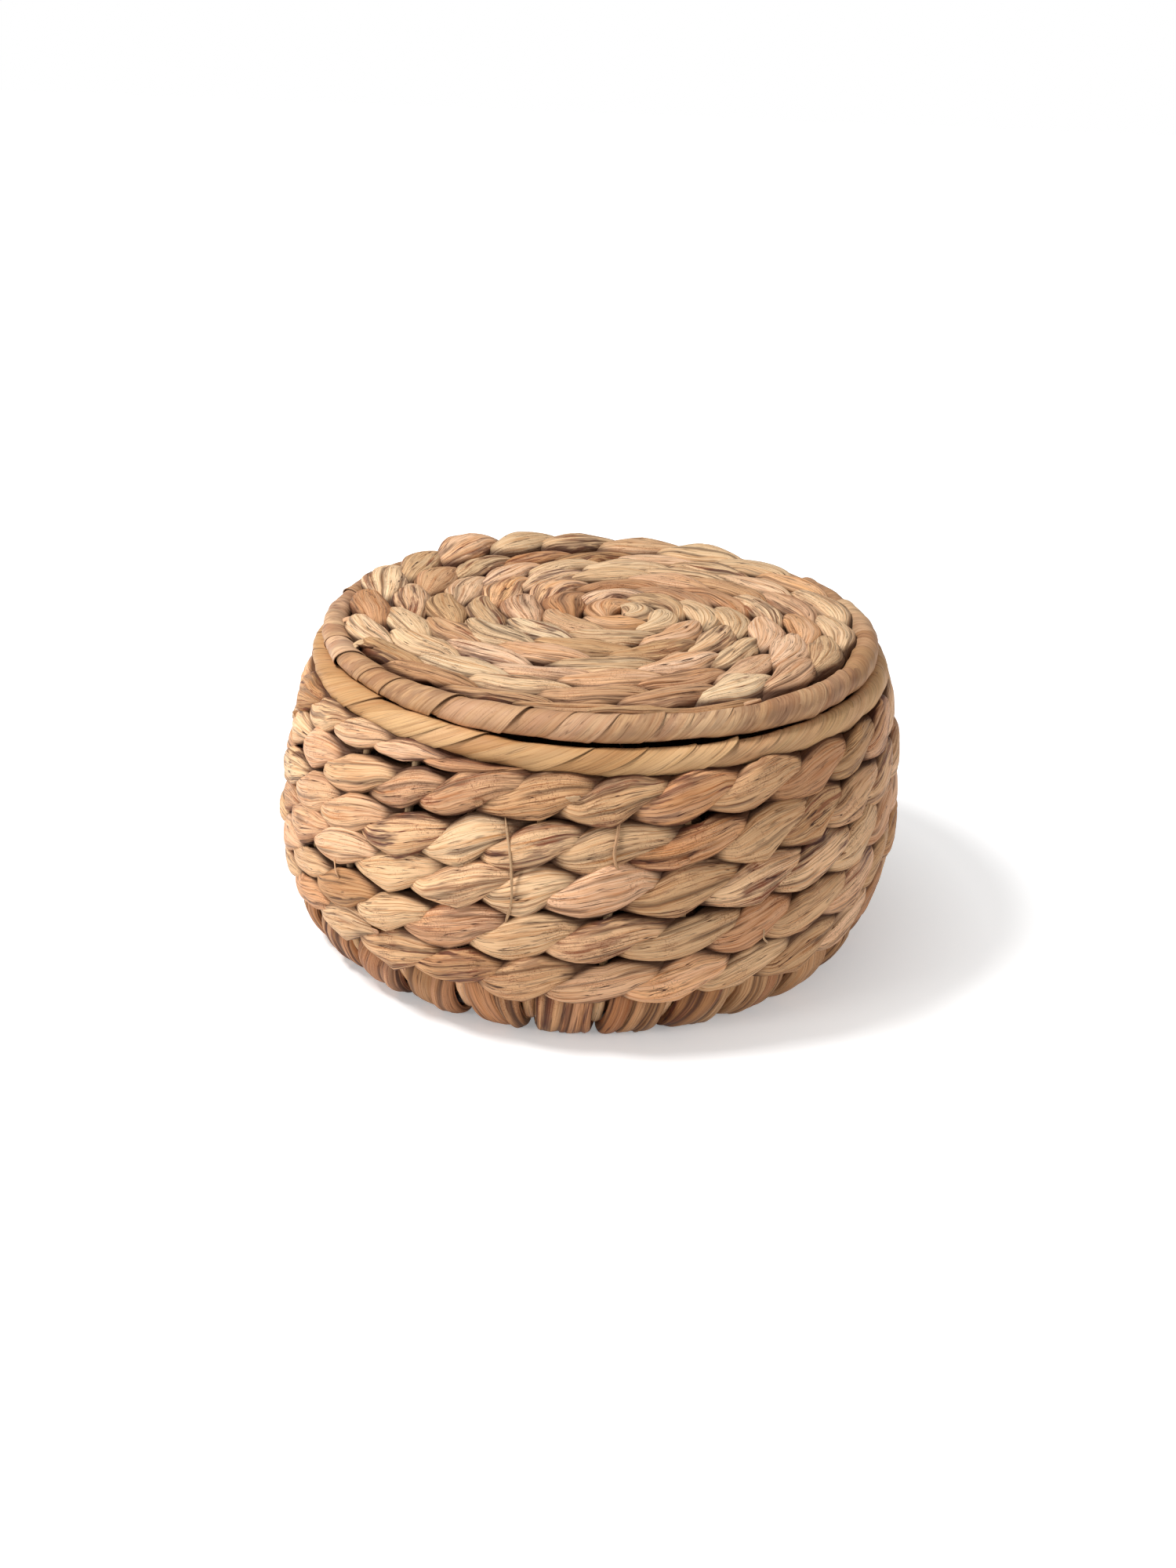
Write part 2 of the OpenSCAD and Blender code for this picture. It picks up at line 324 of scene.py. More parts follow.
# From beige through tan and pinkish tan to orange and cream.
leaf_hues = [
    (0.00, linear(222, 193, 155)),
    (0.22, linear(231, 193, 147)),
    (0.44, linear(235, 193, 146)),
    (0.62, linear(231, 185, 145)),
    (0.82, linear(228, 170, 114)),
    (1.00, linear(246, 224, 186)),
]
red_brown = linear(126, 66, 40)
purple_brown = linear(84, 50, 46)
# Brown of the dark lines between fibres, and of the painted shade in creases, between lobes and on
# tucked strip faces.
line_and_painted_shade_brown = linear(60, 28, 13)
shade_brown = (0.68, 0.49, 0.34, 1)
full_light = (1.06, 1.13, 1.25, 1)
dim_leaf = (0.70, 0.58, 0.47, 1)
bright_leaf = (1.12, 1.15, 1.20, 1)


class LeafShader(Shader):
    """Dried leaf. Its pieces give it grain (round and along the leaf), tone and painted shade."""

    def __init__(self, name, fibres):
        super().__init__(bpy.data.materials.new(name))
        self.fibres = fibres
        self.grain = self.attribute("grain")
        self.streak = self.along_leaf(9.0, 0.032, 4.0, 0.6)
        self.fine = self.along_leaf(19.0, 0.07, 2.0, 0.6)
        self.broken = self.along_leaf(3.0, 0.1)
        self.grained = self.math("ADD", self.product(self.streak, 0.68), self.product(self.fine, 0.32))
        self.place = self.node("TexCoord", out=3)
        self.blotch = self.noise(self.place, 70.0, 3.0, 0.6)
        tone = self.node("SeparateXYZ", self.attribute("tone")).node
        self.hue, self.light, self.stain = tone.outputs

    def along_leaf(self, round_scale, along_scale, detail=2.0, roughness=0.5, distortion=0.0):
        """Noise drawn out along the leaf. The scales are marks round it and marks a millimetre."""
        round_scale = round_scale * self.fibres
        stretched = self.scaled(self.grain, (round_scale, round_scale, along_scale))
        return self.noise(stretched, 1.0, detail, roughness, distortion)

    def cracks(self, field, width, seen):
        """Thin lines along a field's middle value."""
        off_line = self.math("ABSOLUTE", self.math("SUBTRACT", field, 0.5))
        return self.product(self.span(off_line, width * 0.3, width, 1.0, 0.0), seen)

    def lines(self):
        """The dark lines between the fibres: a few wide ones and many thin ones."""
        seen = self.span(self.broken, 0.44, 0.56)
        wide = self.cracks(self.along_leaf(3.6, 0.02), 0.013, seen)
        seen = self.span(self.broken, 0.62, 0.45, 0.3, 0.9)
        thin = self.cracks(self.along_leaf(8.0, 0.035), 0.03, seen)
        return self.math("MAXIMUM", wide, self.product(thin, 0.6))

    def leaf_colour(self, tint, contrast):
        """The leaf's own colour, darker between its fibres and lighter or dimmer leaf by leaf."""
        broad = self.along_leaf(2.2, 0.03, 3.0)
        hue = self.math("ADD", self.hue, self.span(broad, 0.3, 0.7, -0.08, 0.08))
        shade = self.span(self.grained, 0.33, 0.53, 1 - contrast, 1)
        colour = self.multiplied(self.ramp(hue, leaf_hues), tint)
        colour = self.multiplied(colour, self.blend(shade, shade_brown, full_light))
        return self.multiplied(colour, self.blend(self.light, dim_leaf, bright_leaf))

    def speckled(self, colour, stains):
        speck = self.noise(self.place, 1500.0, 2.0, 0.6)
        patches = self.span(self.blotch, 0.48, 0.64, 0.0, 0.6)
        share = self.product(self.span(speck, 0.54, 0.64), patches, stains)
        return self.blend(share, colour, red_brown)

    def stained(self, colour, stains):
        """Brown blots, and brown along the edges of stained leaves."""
        blot = self.along_leaf(2.7, 0.042, 3.0, 0.62, 0.4)
        blots = self.product(self.span(blot, 0.53, 0.59), self.span(self.stain, 0.42, 0.8))
        blots = self.product(blots, self.span(self.grained, 0.6, 0.42, 0.35, 1.0))
        sideways = self.math("ABSOLUTE", self.node("SeparateXYZ", self.grain, out=1))
        edges = self.product(self.span(sideways, 0.45, 0.95), self.span(self.broken, 0.43, 0.55))
        edges = self.product(edges, self.span(self.stain, 0.35, 0.75, 0.0, 0.95))
        brown = self.blend(self.span(self.blotch, 0.42, 0.6), purple_brown, red_brown)
        return self.blend(self.product(self.math("MAXIMUM", blots, edges), stains), colour, brown)

    def creased(self, colour, lines, contrast):
        """Dark lines between fibres, and painted shade in creases where the mesh folds inward, between
        lobes and on tucked strip faces.
        """
        colour = self.blend(self.product(lines, 0.95 * contrast), colour, line_and_painted_shade_brown)
        # Painted shade: the fold values darken creases, gaps between lobes and tucked strip faces.
        fold = self.span(self.attribute("fold", out=2), 0.08, 0.9)
        return self.blend(self.product(fold, 0.88), colour, line_and_painted_shade_brown)

    def fibre_bump(self, lines, depth):
        height = self.math("ADD", self.product(self.streak, 0.9), self.product(self.fine, 0.4))
        height = self.math("SUBTRACT", height, self.product(lines, 0.35))
        return self.bump(height, 0.7, 0.6 * MM * depth)


def leaf(name, tint, stains, fibres=1.0, depth=1.0, contrast=1.0):
    """A leaf material: its tint, how stained it is, and how fine, deep and dark its fibres are."""
    s = LeafShader(name, fibres)
    lines = s.lines()
    colour = s.leaf_colour(tint, contrast)
    colour = s.stained(s.speckled(colour, stains), stains)
    colour = s.creased(colour, lines, contrast)
    roughness = s.span(s.streak, 0.3, 0.7, 0.66, 0.5)
    return s.finish(colour, roughness, s.fibre_bump(lines, depth), Specular_IOR_Level=0.2)


def steel_wire():
    """Drawn steel with a little rust."""
    s = Shader(bpy.data.materials.new("steel_wire"))
    place = s.node("TexCoord", out=3)
    drawn = s.noise(s.scaled(place, (300, 300, 2600)), 1.0, 2.0)
    rust = s.noise(place, 240.0, 4.0, 0.65)
    colour = s.blend(s.span(rust, 0.56, 0.72), (0.5, 0.5, 0.51, 1), linear(122, 84, 58))
    bump = s.bump(drawn, 0.3, 0.2 * MM)
    return s.finish(colour, s.span(drawn, 0.3, 0.7, 0.3, 0.5), bump, Metallic=0.9)


wall_leaf = leaf("wall_leaf", tint=(0.94, 0.87, 0.80, 1), stains=1.0)
lid_leaf = leaf("lid_leaf", tint=(0.98, 0.98, 0.96, 1), stains=0.9)
base_leaf = leaf("base_leaf", tint=(0.88, 0.82, 0.75, 1), stains=0.8)
# The foot's darker tint is partly painted shade, for the shade that the foot lies in.
foot_leaf = leaf("foot_leaf", tint=(0.68, 0.54, 0.43, 1), stains=1.0, contrast=0.75)
rib_leaf = leaf("rib_leaf", tint=(0.95, 0.92, 0.86, 1), stains=0.5, depth=0.3)
smooth_strip = {"fibres": 0.8, "depth": 0.4, "contrast": 0.5}
# The rim strip's darker tint is partly painted shade, for the lid's shadow on the rim.
rim_strip = leaf("rim_strip", tint=(0.76, 0.69, 0.55, 1), stains=0.3, **smooth_strip)
lid_strip = leaf("lid_strip", tint=(0.74, 0.69, 0.64, 1), stains=0.4, **smooth_strip)
wire_steel = steel_wire()

# ---- Meshes ----


def finish_piece(piece, body, material, replaced=()):
    piece.data.materials.append(material)
    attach(piece, body)
    if replaced:
        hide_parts(*replaced)
    return piece


def write_attribute(mesh, name, values):
    kind, key = ("FLOAT", "value") if values.ndim == 1 else ("FLOAT_VECTOR", "vector")
    made = mesh.attributes.new(name, kind, "POINT")
    made.data.foreach_set(key, np.ascontiguousarray(values, np.float32).ravel())


def section_turn(points):
    """The angle of each point round a section."""
    return 2 * np.pi * np.arange(points) / points


def tube_faces(n, m, closed):
    """The sides of a tube of n rings with m points each, and its two ends if it is open."""
    rows = n if closed else n - 1
    i, j = np.meshgrid(np.arange(rows), np.arange(m), indexing="ij")
    a, b = i * m + j, i * m + (j + 1) % m
    sides = np.stack([a, b, (b + m) % (n * m), (a + m) % (n * m)], -1).reshape(-1, 4)
    ends = [] if closed else [np.arange(m)[::-1], (n - 1) * m + np.arange(m)]
    return sides, ends


class Skin:
    """One mesh, gathered from rings of points. Every ring of a tube has as many points."""

    def __init__(self):
        self.points, self.faces, self.grain, self.tone, self.fold = [], [], [], [], []
        self.count = 0

    def tube(self, rings, along, tone, fold, closed=False, seed=0):
        """rings is (stations, points, 3), along is the length at each station, tone is
        (stations, 3) and fold is (stations, points): how much painted shade each
        point gets. An open tube gets flat ends."""
        n, m = rings.shape[:2]
        sides, ends = tube_faces(n, m, closed)
        self.faces.extend((sides + self.count).tolist())
        self.faces.extend((end + self.count).tolist() for end in ends)
        turn = section_turn(m)
        start = random_of("grain", seed).uniform(0, 4000)
        grain = np.empty((n, m, 3))
        grain[..., 0] = np.cos(turn)
        grain[..., 1] = np.sin(turn)
        grain[..., 2] = (np.asarray(along) + start)[:, None]
        self.points.append(rings.reshape(-1, 3))
        self.grain.append(grain.reshape(-1, 3))
        self.tone.append(np.repeat(tone, m, axis=0))
        self.fold.append(np.broadcast_to(fold, (n, m)).ravel())
        self.count += n * m

    def piece(self, name):
        mesh = bpy.data.meshes.new(name)
        mesh.from_pydata((np.concatenate(self.points) * MM).tolist(), [], self.faces)
        write_attribute(mesh, "grain", np.concatenate(self.grain))
        write_attribute(mesh, "tone", np.concatenate(self.tone))
        write_attribute(mesh, "fold", np.concatenate(self.fold))
        mesh.shade_smooth()
        mesh.update()
        made = bpy.data.objects.new(name, mesh)
        bpy.context.scene.collection.objects.link(made)
        return made


# ---- Leaf: its tones and its relief ----

usual_hue = 0.46
hue_change = 0.3

# How high or deep the parts of the relief are, and how soon they and their courses change
# along the leaf.
fold_height = 0.68
fold_length = 24
ridge_height = 0.13
ridge_length = 22
edge_height = 0.6
edge_length = 27
edge_course = 40
crease_depth = 0.3
crease_length = 21
crease_course = 34


def leaf_tone(x, step, *words, hold=0.6):
    """Hue, lightness and stain along a strand, new for each leaf."""
    hue = usual_hue + hue_change * wander(x, step, "hue", *words, hold=hold)
    light = 0.5 + 0.5 * wander(x, step, "light", *words, hold=hold)
    stain = 0.5 + 0.5 * wander(x, step, "stain", *words, hold=hold)
    return np.stack([hue, light, stain], -1)


def leaf_creases(along, turn, count, *words):
    """How deep each point lies in the narrow creases that come and go along a bundle."""
    hidden = np.zeros((len(along), len(turn)))
    for k in range(count):
        dice = random_of("crease", k, *words)
        centre = dice.uniform() + 0.03 * wander(along, crease_course, "crease turn", k, *words)
        apart = np.abs((turn[None, :] - centre[:, None] + 0.5) % 1 - 0.5)
        there = smooth(2.4 * wander(along, crease_length, "crease there", k, *words))[:, None]
        hidden = np.maximum(hidden, there * np.exp(-((apart * len(turn) / 0.8) ** 2)))
    return hidden


def leaf_edges(along, turn, count, *words):
    """How far the edges of leaves lift the skin, and how deep each point lies beside them."""
    lift = np.zeros((len(along), len(turn)))
    hidden = np.zeros(lift.shape)
    for k in range(count):
        dice = random_of("edge", k, *words)
        centre = dice.uniform() + 0.04 * wander(along, edge_course, "edge turn", k, *words)
        past = (turn[None, :] - centre[:, None]) % 1
        there = smooth(0.8 + 2.2 * wander(along, edge_length, "edge there", k, *words))[:, None]
        lift += edge_height * there * np.exp(-past / 0.15) * np.minimum(1, past * len(turn) / 0.9)
        beside = np.exp(-((((past + 0.5) % 1 - 0.5) * len(turn) / 0.7) ** 2))
        hidden = np.maximum(hidden, 0.8 * there * beside)
    return lift, hidden


def leaf_relief(along, points, *words, creases=6, edges=3):
    """How far a leaf bundle's skin stands out, and how deep in a crease each point lies, for painted
    shade.
    """
    turn = np.arange(points) / points
    folds = fold_height * wander_round(along, fold_length, turn, 5, "folds", *words)
    ridges = ridge_height * wander_round(along, ridge_length, turn, 17, "ridges", *words)
    lift, beside_edge = leaf_edges(along, turn, edges, *words)
    hidden = np.maximum(leaf_creases(along, turn, creases, *words), beside_edge)
    return folds + ridges + lift - crease_depth * hidden, hidden


def relieved(front, side, along, *words, depth=1.0, creases=6, edges=3):
    """A section's points moved along its normal by its leaf relief, and how deep each lies in a
    crease, for painted shade.
    """
    push, hidden = leaf_relief(along, front.shape[1], *words, creases=creases, edges=edges)
    step_front = np.roll(front, -1, 1) - np.roll(front, 1, 1)
    step_side = np.roll(side, -1, 1) - np.roll(side, 1, 1)
    length = np.hypot(step_front, step_side) + 1e-6
    push = push * depth
    return front + push * step_side / length, side - push * step_front / length, hidden


def rounded(angle, power):
    """Cosine and sine with their corners filled out, for sections between oval and box."""
    c, s = np.cos(angle), np.sin(angle)
    return np.sign(c) * np.abs(c) ** power, np.sign(s) * np.abs(s) ** power


# ---- One strand of a pair that twists about itself ----

# The course of the strand at each angle of its phase away from the front, in degrees: how far
# it lies to the side, how wide it is, and how far it stands out of the pair's middle. How far
# it stands at 180 degrees follows from the core, the space between the two strands.
strand_angles = (0, 25, 50, 75, 95, 115, 135, 155, 180)
strand_aside = (0, 0.3, 0.62, 0.88, 1, 1, 0.85, 0.5, 0)
strand_width = (1, 0.96, 0.85, 0.69, 0.58, 0.53, 0.6, 0.84, 1)
strand_stand = (1, 1, 0.99, 0.93, 0.86, 0.74, 0.52, 0.22)
side_reach = 0.21

# How much the lobes differ: in thickness and width, how far they bulge and slip, and in tilt.
lobe_t_change = 0.08
lobe_w = 1.07
lobe_w_change = 0.14
lobe_bulge = 0.6
lobe_slip = 0.9
lobe_tilt = 0.22

# Below the top of a pair, and over what depth, the gap between its lobes is darkened with painted
# shade.
crevice_start = 1.1
crevice_depth = 2.7


def crevice(front, pair_t):
    """How deep between the lobes of a twisted pair a point lies, from 0 to 1: how much painted shade
    it gets.
    """
    thick = np.broadcast_to(pair_t, len(front))[:, None]
    return smooth((thick / 2 - crevice_start - np.abs(front)) / crevice_depth)


def turned_by(front, side, angle):
    """A section's points turned about its middle."""
    c, s = np.cos(angle), np.sin(angle)
    return front * c - side * s, side * c + front * s


def twisted_strand(phase, along, pair_t, pair_w, core, points, *words):
    """Front and side offsets of the strand and its painted shade, at each phase in radians. It is at
    the front at phase 0 and at the side at a quarter turn. Each lobe differs a little."""
    lobe = phase / np.pi
    turned = np.degrees((phase + np.pi) % (2 * np.pi) - np.pi)
    angle = np.abs(turned)
    stands = strand_stand + (-core / np.max(pair_t),)
    outer = np.interp(angle, strand_angles, stands) * pair_t / 2
    inner = -np.interp(180 - angle, strand_angles, stands) * pair_t / 2
    half_front = (outer - inner) / 2 * (1 + lobe_t_change * wander(lobe, 1, "thick", *words))
    mid_front = (outer + inner) / 2 + lobe_bulge * wander(lobe, 1, "bulge", *words)
    half_side = pair_w / 2 * np.interp(angle, strand_angles, strand_width)
    half_side = half_side * (lobe_w + lobe_w_change * wander(lobe, 1, "wide", *words))
    aside = np.sign(turned) * np.interp(angle, strand_angles, strand_aside)
    mid_side = aside * pair_w * side_reach + lobe_slip * wander(lobe, 1, "slip", *words)
    roundness = mix(0.7, 0.8, np.abs(np.cos(phase)))[:, None]
    unit_front, unit_side = rounded(section_turn(points), roundness)
    front = half_front[:, None] * unit_front
    side = half_side[:, None] * unit_side
    front, side, hidden = relieved(front, side, along, *words)
    tilt = lobe_tilt * np.abs(np.cos(phase)) * wander(lobe, 1, "tilt", *words)
    front, side = turned_by(front, side, tilt[:, None])
    front, side = mid_front[:, None] + front, mid_side[:, None] + side
    # Painted shade: darker in the leaf creases and in the gaps between lobes.
    return front, side, np.maximum(0.8 * hidden, crevice(front, pair_t))


# ---- Twined wall ----

top_row_tuck = 0.8
weave_low = foot_roll_t / 2 + weave_gap + foot_shown - foot_hidden
weave_high = rib_len - rim_roll_t / 2 + top_row_tuck
wall_gaps = wall_rows * rib_count + extra_gaps
wall_turns = wall_gaps / rib_count
row_samples = wall_rows + 2

# Handmade rows wave up and down and their strands swap sides early or late. The steps are
# counted in gaps between ribs.
row_wave = 1.4
row_wave_step = 3.5
pace_change = 0.42
pace_step = 1.3

# The strands end inside the wall, pressed together over the last part of a gap.
tucked_gaps = 0.7
tucked_n = -1.5
tucked_w = 0.4

# Each turn's end is hidden a little way inside the next turn of the same strand.
turn_lap = 0.04
hidden_end_size = 0.97


def row_share(v):
    """The share of a full row's height that the twining takes at turn v."""
    v = np.asarray(v, float)
    from_end = np.minimum(v, wall_turns - v)
    return mix(thinnest_row, 1, smooth(from_end / weaver_taper)) * smooth(from_end / weaver_tip)


def row_place(v):
    """Middle and height of the row of twining at turn v, in length up a rib."""
    below = sum(row_share(v - k) for k in range(1, row_samples))
    above = sum(row_share(v + k) for k in range(1, row_samples))
    full_row = (weave_high - weave_low) / (below + row_share(v) + above)
    return weave_low + full_row * (below + row_share(v) / 2), full_row * row_share(v)


def weaver_gaps(turn, steps):
    """Places along one turn, counted in gaps between ribs, and which of them are hidden ends."""
    first = (turn - 1) * rib_count
    last = min(turn * rib_count, wall_gaps)
    before = [first - turn_lap] if turn > 1 else []
    after = [last + turn_lap] if last < wall_gaps else []
    gaps = np.linspace(first, last, (last - first) * steps + 1)
    return np.concatenate([before, gaps, after]), [0] * len(before) + [-1] * len(after)


def weaver_turn(letter, turn, start_phase, steps=16, points=60):
    """One turn of one twining strand, which swaps sides of the wall from rib to rib."""
    gaps, hidden_ends = weaver_gaps(turn, steps)
    middle, height = row_place(gaps / rib_count)
    middle = middle + row_wave * wander(gaps, row_wave_step, "row")
    row_w = np.maximum(height - weave_gap, 2)
    azimuth = rib_azimuth(first_rib + gaps)
    phase = start_phase + np.pi * gaps + pace_change * wander(gaps, pace_step, "pace")
    along = gaps * 2 * np.pi * belly_r / rib_count
    front, side, fold = twisted_strand(phase, along, wall_t, row_w, rib_core, points, "wall", letter)
    for end in hidden_ends:
        front[end] = mix(front[end].mean(), front[end], hidden_end_size)
        side[end] = mix(side[end].mean(), side[end], hidden_end_size)
    free = smooth(np.minimum(gaps, wall_gaps - gaps) / tucked_gaps)[:, None]
    r, z = rib_rz(middle[:, None] + side * mix(tucked_w, 1, free), mix(tucked_n, front, free))
    skin = Skin()
    tone = leaf_tone(phase / (2 * np.pi), 1, "wall", letter, hold=0.75)
    skin.tube(settled(polar(r, azimuth[:, None], z)), along, tone, fold, seed="wall" + letter)
    piece = skin.piece(f"wall_strand_{letter}_{turn}")
    return finish_piece(piece, "basket", wall_leaf, [f"weaver_{letter}_turn_{turn}"])


for turn in range(1, math.ceil(wall_turns) + 1):
    weaver_turn("a", turn, 0)
    weaver_turn("b", turn, np.pi)

# ---- Coiled rope of the lid and the base ----

jog = 0.6
coil_start = 0.8
coil_end = 0.85
coil_samples = 6000

# The lid's outer row swells at the back left: outward, upward, in width and in thickness.
lid_swell = 3
swell_azimuth = 125
swell_spread = 38
swell_out = 0.3
swell_up = 0.75
swell_w = 0.09
swell_t = 0.08


class Coil:
    """A rope coiled from the middle outward, in rows that step out once a turn."""

    def __init__(self, rows, limit, middle, lay, rope_t, z, settle):
        self.rows, self.limit, self.middle = rows, limit, middle
        self.lay, self.rope_t, self.z, self.settle = lay, rope_t, z, settle
        self.row_w = limit / rows
        v = np.linspace(coil_start, rows + coil_end, coil_samples)
        step = np.diff(v) * 2 * np.pi * (self.mid(v[1:]) + self.mid(v[:-1])) / 2
        self.v, self.length = v, np.concatenate([[0], np.cumsum(step)])

    def edge(self, v):
        """Radius of the rope's outer edge at turn v."""
        whole = np.floor(v)
        stepped = self.row_w * (whole + smooth((v - whole - 1 + jog) / jog))
        return np.where(v <= 0, 0, np.minimum(self.limit, stepped))

    def mid(self, v):
        return (self.edge(v) + self.edge(v - 1)) / 2

    def place(self, r, azimuth, z):
        """Points from polar ones, with the middle of the coil moved to where it lies."""
        share = 1 - r / self.limit
        points = polar(r, azimuth, z)
        points[..., 0] += self.middle[0] * share
        points[..., 1] += self.middle[1] * share
        return self.settle(points)


def outer_swell(coil, v):
    """How much of the swelling the rope has at each turn v, from 0 to 1.2."""
    row = smooth((v - (coil.rows - 0.75)) / 0.7)
    azimuth = 360 * np.mod(v, 1)
    behind = smooth((np.sin(np.radians(azimuth) - 0.15) + 0.25) / 0.75)
    back_left = np.exp(-(((azimuth - swell_azimuth) / swell_spread) ** 2))
    return row * (0.35 * behind + 0.85 * back_left)


def rope_strand(name, letter, start_phase, coil, swell=0, step=2.1, points=44):
    """One of the two strands of a coiled rope, twisted tighter towards the middle."""
    along = np.arange(0, coil.length[-1], step)
    v = np.interp(along, coil.length, coil.v)
    width = coil.edge(v) - coil.edge(v - 1) - weave_gap
    rope_t = coil.rope_t * np.minimum(1, width / coil.row_w + 0.3)
    tight = np.clip(0.5 + 0.16 * v, 0, 1)
    twist = np.concatenate([[0], np.cumsum(np.diff(along) / tight[1:])])
    phase = start_phase + 2 * np.pi * twist / coil.lay
    front, side, fold = twisted_strand(
        phase, along, rope_t, width + rope_lap, rope_core, points, name, letter
    )
    swollen = swell * outer_swell(coil, v)[:, None]
    r = coil.mid(v)[:, None] - side * (1 + swell_w * swollen) + swell_out * swollen
    front = front * (1 + swell_t * swollen) + swell_up * swollen
    rings = coil.place(np.maximum(r, 0.2), 2 * np.pi * v[:, None], coil.z + front)
    tone = leaf_tone(phase / (2 * np.pi), 1, name, letter, hold=0.75)
    skin = Skin()
    skin.tube(rings, along, tone, fold, seed=name + letter)
    return skin.piece(f"{name}_{letter}")


lid_limit = lid_wire.r - lid_roll_t / 2 - weave_gap
base_limit = base_wire.r - foot_roll_t / 2 - weave_gap
lid_z = lid_wire.z + lid_rise
base_z = base_wire.z + base_rise
lid_coil = Coil(lid_rows, lid_limit, lid_middle, lid_lay, lid_rope_t, lid_z, settled_lid)
base_coil = Coil(base_rows, base_limit, base_middle, base_lay, base_rope_t, base_z, settled)
for letter, start in (("a", np.pi / 2), ("b", np.pi * 3 / 2)):
    strand = rope_strand("lid_twist", letter, start, lid_coil, swell=lid_swell, points=56)
    finish_piece(strand, "lid", lid_leaf, [f"lid_rope_strand_{letter}"])
    strand = rope_strand("base_twist", letter, start, base_coil, step=3.4, points=36)
    finish_piece(strand, "basket", base_leaf, [f"base_rope_strand_{letter}"])

# ---- Strip wound round the rim and round the lid's edge ----

strip_t = 0.45
rim_rib_bulge = 1.9

# Width and shift of the turns of a strip, as shares of its lay.
strip_w = 1.6
strip_w_change = 0.22
strip_shift = 0.24

# How far a strip stands off its roll: sunk where it is lapped over, then raised by the lap, and
# uneven within each turn, from turn to turn and all over its skin.
strip_sunk = 1.25
strip_lap = 0.8
turn_flats = 0.28
turn_change = 0.5
skin_change = 0.3
edge_lift = 0.55


def strip_lift(name, index, share, steps):
    """How far a strip stands off its roll. Its free edge is lifted here and there."""
    lapped = smooth((share + 0.5) / 0.42)[None, :]
    free_edge = smooth((share - 0.36) / 0.14)[None, :]
    skin = wander_round(np.arange(len(index)), steps / 3, (share + 0.5) * 0.999, 4, name)
    lift = strip_lap * lapped - strip_sunk + skin_change * skin
    lift = lift + turn_flats * wander(index, 0.5, name, "flat")[:, None]
    lift = lift + turn_change * wander(index, 1, name, "fat", hold=0.4)[:, None]
    return lift + edge_lift * free_edge * smooth(1.6 * wander(index, 0.4, name, "edge"))[:, None]


def over_ribs(azimuth, around, wire_r):
    """1 where a roll passes over the end of a rib, on its underside, and 0 away from there."""
    nearest = (azimuth - rib_azimuth(0)) * rib_count / (2 * np.pi)
    apart = np.abs(nearest - np.round(nearest)) * 2 * np.pi * wire_r / rib_count
    under = np.clip(-np.sin(around), 0, 1)[:, None] ** 3
    return np.exp(-((apart / rib_thickness) ** 2)) * under


def strip_tone(name, index):
    """Tones of a strip: calmer than a strand's, with each turn a little lighter or darker."""
    tone = leaf_tone(index, 4, name, hold=0.75)
    turn_hue = 0.06 * wander(index, 1, name, "turn hue", hold=0.7)
    turn_light = 0.26 * wander(index, 1, name, "turn light", hold=0.7)
    tone[:, 0] = mix(0.5, tone[:, 0], 0.4) + turn_hue
    tone[:, 1] = mix(0.5, tone[:, 1], 0.8) + turn_light
    return tone


def wound_strip(name, wire, roll_t, lay, slant, settle, rib_bulge=0, steps=36, across=13):
    """A leaf strip wound round a ring, each turn lapped over the one before it."""
    turns = round(2 * np.pi * wire.r / lay)
    n = turns * steps
    around = 2 * np.pi * np.arange(n) / steps
    index = around / (2 * np.pi)
    wide = lay * (strip_w + strip_w_change * wander(index, 1, name, "wide"))
    shift = strip_shift * lay * wander(index, 1, name, "shift") + slant * np.sin(around)
    share = np.concatenate([[-0.5, -0.48], np.linspace(-0.42, 0.42, across - 4), [0.48, 0.5]])
    offset = (share[None, :] * wide[:, None] + shift[:, None]) / wire.r
    azimuth = 2 * np.pi * np.arange(n)[:, None] / n + offset
    radius = roll_t / 2 + strip_lift(name, index, share, steps)
    radius = radius + rib_bulge * over_ribs(azimuth, around, wire.r)
    c, s = np.cos(around)[:, None], np.sin(around)[:, None]
    outer = polar(wire.r + radius * c, azimuth, wire.z + radius * s)
    low = radius - strip_t
    inner = polar(wire.r + low * c, azimuth, wire.z + low * s)
    rings = settle(np.concatenate([outer, inner[:, ::-1]], axis=1))
    # Painted shade: the strip's inner face is dark all over, and its edges get a dark line where a
    # turn tucks under the next.
    folds = np.concatenate([np.zeros(across), np.ones(across)])
    folds[[0, 1, across - 1]] = (0.35, 0.2, 0.35)
    folds = np.broadcast_to(folds, (n, 2 * across))
    skin = Skin()
    skin.tube(rings, around * roll_t / 2, strip_tone(name, index), folds, seed=name)
    return skin.piece(name)


rim_piece = wound_strip(
    "rim_strip", rim_wire, rim_roll_t, rim_lay, rim_slant, settled, rib_bulge=rim_rib_bulge
)
finish_piece(rim_piece, "basket", rim_strip, ["rim_wrap"])
lid_piece = wound_strip(
    "lid_edge_strip", lid_wire, lid_roll_t, lid_edge_lay, lid_edge_slant, settled_lid
)
finish_piece(lid_piece, "lid", lid_strip, ["lid_wrap"])

# ---- Foot bundles: turns of leaf looped round the base ring and up between the ribs ----

floor_gap = 0.1
loop_lap = 1.3
loop_closing = 1.6
loop_narrowing = 0.16
bundle_rounding = 2.6

# From the least to the most of each value that chance sets.
loop_shares = (0.7, 1.3)
loop_half_t = (1.8, 2.5)
loop_reach = (-0.4, 1.0)
gap_shares = (0.3, 0.75)
slant_shares = (0.1, 0.9)


